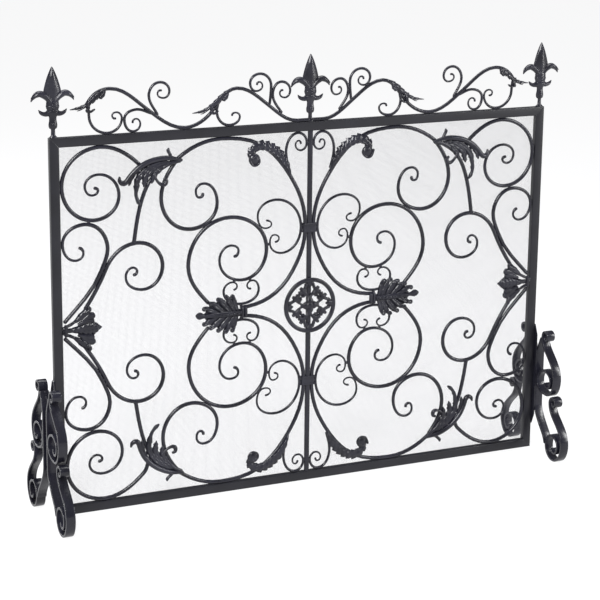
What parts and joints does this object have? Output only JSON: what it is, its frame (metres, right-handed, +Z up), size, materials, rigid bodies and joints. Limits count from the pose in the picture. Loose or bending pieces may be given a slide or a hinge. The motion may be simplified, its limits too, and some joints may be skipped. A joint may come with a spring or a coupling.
{
  "type": "fireplace screen",
  "caption": "Free-standing wrought-iron fireplace screen: one flat scrollwork panel over woven wire mesh, with a scrolled crest, fleur-de-lis finials and scroll feet.",
  "frame": {"origin": "on the floor plane, under the middle of the panel, midway between the feet and midway front to back", "axes": "+X along the panel to the viewer's right when seen from the front, -Y out of the decorated front towards the viewer, +Z up"},
  "size_m": [1.159, 0.254, 0.9015],
  "materials": {
    "frame_tube": "satin black powder coat on steel tube",
    "wrought_bar": "satin black powder coat on bent steel bar",
    "cast_iron": "black painted iron casting, slightly grained",
    "woven_wire": "fine woven wire cloth, black painted",
    "bolt_steel": "black oxide hexagon bolts"
  },
  "bodies": {
    "root": {"top_rail": "frame_tube", "bottom_rail": "frame_tube", "wire_mesh": "woven_wire", "centre_bar": "wrought_bar", "medallion_ring": "cast_iron", "medallion_tracery": "cast_iron", "upper_collar": "cast_iron", "lower_collar": "cast_iron", "centre_finial": "cast_iron", "crest_standing_scrolls": "wrought_bar", "struts": "wrought_bar", "curled_leaves": "cast_iron", "foot_bolts": "bolt_steel", "left_stile": "frame_tube", "right_stile": "frame_tube", "left_crest_wave": "wrought_bar", "right_crest_wave": "wrought_bar", "left_crest_hanging_scrolls": "wrought_bar", "right_crest_hanging_scrolls": "wrought_bar", "left_crest_low_scroll": "wrought_bar", "right_crest_low_scroll": "wrought_bar", "left_crest_leaves": "cast_iron", "right_crest_leaves": "cast_iron", "left_crest_spirals": "wrought_bar", "right_crest_spirals": "wrought_bar", "left_corner_scrolls": "wrought_bar", "right_corner_scrolls": "wrought_bar", "left_stile_scrolls": "wrought_bar", "right_stile_scrolls": "wrought_bar", "left_side_scrolls": "wrought_bar", "right_side_scrolls": "wrought_bar", "left_arch_bars": "wrought_bar", "right_arch_bars": "wrought_bar", "left_arch_scrolls": "wrought_bar", "right_arch_scrolls": "wrought_bar", "left_heart_scrolls": "wrought_bar", "right_heart_scrolls": "wrought_bar", "left_ring_scrolls": "wrought_bar", "right_ring_scrolls": "wrought_bar", "left_collar_scrolls": "wrought_bar", "right_collar_scrolls": "wrought_bar", "left_palmette_scrolls": "wrought_bar", "right_palmette_scrolls": "wrought_bar", "left_palmette": "cast_iron", "right_palmette": "cast_iron", "left_stile_leaf": "cast_iron", "right_stile_leaf": "cast_iron", "left_acanthus_leaves": "cast_iron", "right_acanthus_leaves": "cast_iron", "left_finial": "cast_iron", "right_finial": "cast_iron", "left_foot_bars": "wrought_bar", "right_foot_bars": "wrought_bar", "left_foot_scrolls": "wrought_bar", "right_foot_scrolls": "wrought_bar", "left_foot_plate": "wrought_bar", "right_foot_plate": "wrought_bar"}
  },
  "joints": []
}
